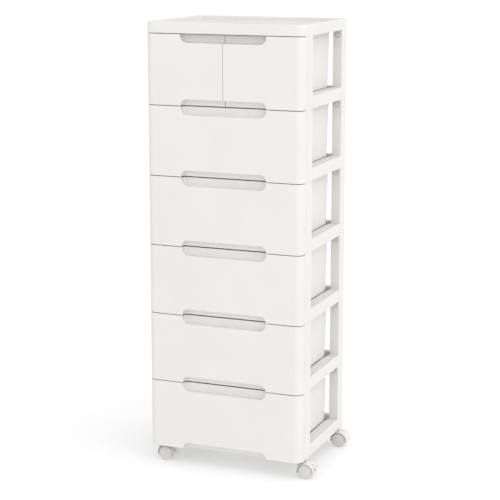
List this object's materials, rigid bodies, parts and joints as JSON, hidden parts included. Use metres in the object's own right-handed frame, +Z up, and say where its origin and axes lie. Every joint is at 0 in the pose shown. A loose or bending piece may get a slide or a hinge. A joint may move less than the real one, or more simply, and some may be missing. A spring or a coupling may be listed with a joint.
{
  "type": "drawer tower",
  "caption": "Slim white moulded drawer tower on casters, with full-width drawers under a split top row and a tray top.",
  "frame": {"origin": "on the floor, under the middle of the cabinet's footprint", "axes": "+Z up; the drawers open towards -Y; +X to the right as seen from the front"},
  "size_m": [0.4575, 0.33, 1.1465],
  "materials": {
    "white_moulding": "satin moulded polypropylene",
    "caster_white": "satin moulded nylon",
    "caster_wheel_grey": "matte moulded nylon",
    "steel": "zinc-plated turned pin"
  },
  "bodies": {
    "cabinet": {"top_cover": "white_moulding", "base_frame": "white_moulding", "tier_frame_1": "white_moulding", "tier_frame_2": "white_moulding", "tier_frame_3": "white_moulding", "tier_frame_4": "white_moulding", "tier_frame_5": "white_moulding", "post_1_front_left": "white_moulding", "post_1_front_right": "white_moulding", "post_1_rear_left": "white_moulding", "post_1_rear_right": "white_moulding", "post_2_front_left": "white_moulding", "post_2_front_right": "white_moulding", "post_2_rear_left": "white_moulding", "post_2_rear_right": "white_moulding", "post_3_front_left": "white_moulding", "post_3_front_right": "white_moulding", "post_3_rear_left": "white_moulding", "post_3_rear_right": "white_moulding", "post_4_front_left": "white_moulding", "post_4_front_right": "white_moulding", "post_4_rear_left": "white_moulding", "post_4_rear_right": "white_moulding", "post_5_front_left": "white_moulding", "post_5_front_right": "white_moulding", "post_5_rear_left": "white_moulding", "post_5_rear_right": "white_moulding", "post_6_front_left": "white_moulding", "post_6_front_right": "white_moulding", "post_6_rear_left": "white_moulding", "post_6_rear_right": "white_moulding", "center_divider": "white_moulding", "caster_stems": "steel"},
    "drawer_1": {"drawer_1": "white_moulding"},
    "drawer_2": {"drawer_2": "white_moulding"},
    "drawer_3": {"drawer_3": "white_moulding"},
    "drawer_4": {"drawer_4": "white_moulding"},
    "drawer_5": {"drawer_5": "white_moulding"},
    "small_drawer_left": {"small_drawer_left": "white_moulding"},
    "small_drawer_right": {"small_drawer_right": "white_moulding"},
    "caster_front_left": {"caster_hood_front_left": "caster_white", "caster_axle_front_left": "steel"},
    "caster_wheel_front_left_a": {"caster_wheel_front_left_a": "caster_wheel_grey"},
    "caster_wheel_front_left_b": {"caster_wheel_front_left_b": "caster_wheel_grey"},
    "brake_lever_front_left": {"brake_lever_front_left": "caster_white"},
    "caster_front_right": {"caster_hood_front_right": "caster_white", "caster_axle_front_right": "steel"},
    "caster_wheel_front_right_a": {"caster_wheel_front_right_a": "caster_wheel_grey"},
    "caster_wheel_front_right_b": {"caster_wheel_front_right_b": "caster_wheel_grey"},
    "brake_lever_front_right": {"brake_lever_front_right": "caster_white"},
    "caster_rear_left": {"caster_hood_rear_left": "caster_white", "caster_axle_rear_left": "steel"},
    "caster_wheel_rear_left_a": {"caster_wheel_rear_left_a": "caster_wheel_grey"},
    "caster_wheel_rear_left_b": {"caster_wheel_rear_left_b": "caster_wheel_grey"},
    "caster_rear_right": {"caster_hood_rear_right": "caster_white", "caster_axle_rear_right": "steel"},
    "caster_wheel_rear_right_a": {"caster_wheel_rear_right_a": "caster_wheel_grey"},
    "caster_wheel_rear_right_b": {"caster_wheel_rear_right_b": "caster_wheel_grey"}
  },
  "joints": [
    {"name": "drawer_1_slide", "type": "slide", "parent": "cabinet", "child": "drawer_1", "axis": [0, -1, 0], "range_m": [0, 0.212]},
    {"name": "drawer_2_slide", "type": "slide", "parent": "cabinet", "child": "drawer_2", "axis": [0, -1, 0], "range_m": [0, 0.212]},
    {"name": "drawer_3_slide", "type": "slide", "parent": "cabinet", "child": "drawer_3", "axis": [0, -1, 0], "range_m": [0, 0.212]},
    {"name": "drawer_4_slide", "type": "slide", "parent": "cabinet", "child": "drawer_4", "axis": [0, -1, 0], "range_m": [0, 0.212]},
    {"name": "drawer_5_slide", "type": "slide", "parent": "cabinet", "child": "drawer_5", "axis": [0, -1, 0], "range_m": [0, 0.212]},
    {"name": "small_drawer_left_slide", "type": "slide", "parent": "cabinet", "child": "small_drawer_left", "axis": [0, -1, 0], "range_m": [0, 0.212]},
    {"name": "small_drawer_right_slide", "type": "slide", "parent": "cabinet", "child": "small_drawer_right", "axis": [0, -1, 0], "range_m": [0, 0.212]},
    {"name": "caster_front_left_swivel", "type": "hinge", "parent": "cabinet", "child": "caster_front_left", "pos_m": [-0.1945, -0.133, 0.044], "axis": [0, 0, 1], "continuous": true},
    {"name": "caster_wheel_front_left_a_spin", "type": "hinge", "parent": "caster_front_left", "child": "caster_wheel_front_left_a", "pos_m": [-0.1735, -0.133, 0.019], "axis": [0, 1, 0], "continuous": true},
    {"name": "caster_wheel_front_left_b_spin", "type": "hinge", "parent": "caster_front_left", "child": "caster_wheel_front_left_b", "pos_m": [-0.1735, -0.133, 0.019], "axis": [0, 1, 0], "continuous": true},
    {"name": "brake_lever_front_left_press", "type": "hinge", "parent": "caster_front_left", "child": "brake_lever_front_left", "pos_m": [-0.1605, -0.133, 0.028], "axis": [0, 1, 0], "range_deg": [0, 14]},
    {"name": "caster_front_right_swivel", "type": "hinge", "parent": "cabinet", "child": "caster_front_right", "pos_m": [0.1945, -0.133, 0.044], "axis": [0, 0, 1], "continuous": true},
    {"name": "caster_wheel_front_right_a_spin", "type": "hinge", "parent": "caster_front_right", "child": "caster_wheel_front_right_a", "pos_m": [0.2155, -0.133, 0.019], "axis": [0, 1, 0], "continuous": true},
    {"name": "caster_wheel_front_right_b_spin", "type": "hinge", "parent": "caster_front_right", "child": "caster_wheel_front_right_b", "pos_m": [0.2155, -0.133, 0.019], "axis": [0, 1, 0], "continuous": true},
    {"name": "brake_lever_front_right_press", "type": "hinge", "parent": "caster_front_right", "child": "brake_lever_front_right", "pos_m": [0.2285, -0.133, 0.028], "axis": [0, 1, 0], "range_deg": [0, 14]},
    {"name": "caster_rear_left_swivel", "type": "hinge", "parent": "cabinet", "child": "caster_rear_left", "pos_m": [-0.1945, 0.133, 0.044], "axis": [0, 0, 1], "continuous": true},
    {"name": "caster_wheel_rear_left_a_spin", "type": "hinge", "parent": "caster_rear_left", "child": "caster_wheel_rear_left_a", "pos_m": [-0.1735, 0.133, 0.019], "axis": [0, 1, 0], "continuous": true},
    {"name": "caster_wheel_rear_left_b_spin", "type": "hinge", "parent": "caster_rear_left", "child": "caster_wheel_rear_left_b", "pos_m": [-0.1735, 0.133, 0.019], "axis": [0, 1, 0], "continuous": true},
    {"name": "caster_rear_right_swivel", "type": "hinge", "parent": "cabinet", "child": "caster_rear_right", "pos_m": [0.1945, 0.133, 0.044], "axis": [0, 0, 1], "continuous": true},
    {"name": "caster_wheel_rear_right_a_spin", "type": "hinge", "parent": "caster_rear_right", "child": "caster_wheel_rear_right_a", "pos_m": [0.2155, 0.133, 0.019], "axis": [0, 1, 0], "continuous": true},
    {"name": "caster_wheel_rear_right_b_spin", "type": "hinge", "parent": "caster_rear_right", "child": "caster_wheel_rear_right_b", "pos_m": [0.2155, 0.133, 0.019], "axis": [0, 1, 0], "continuous": true}
  ]
}
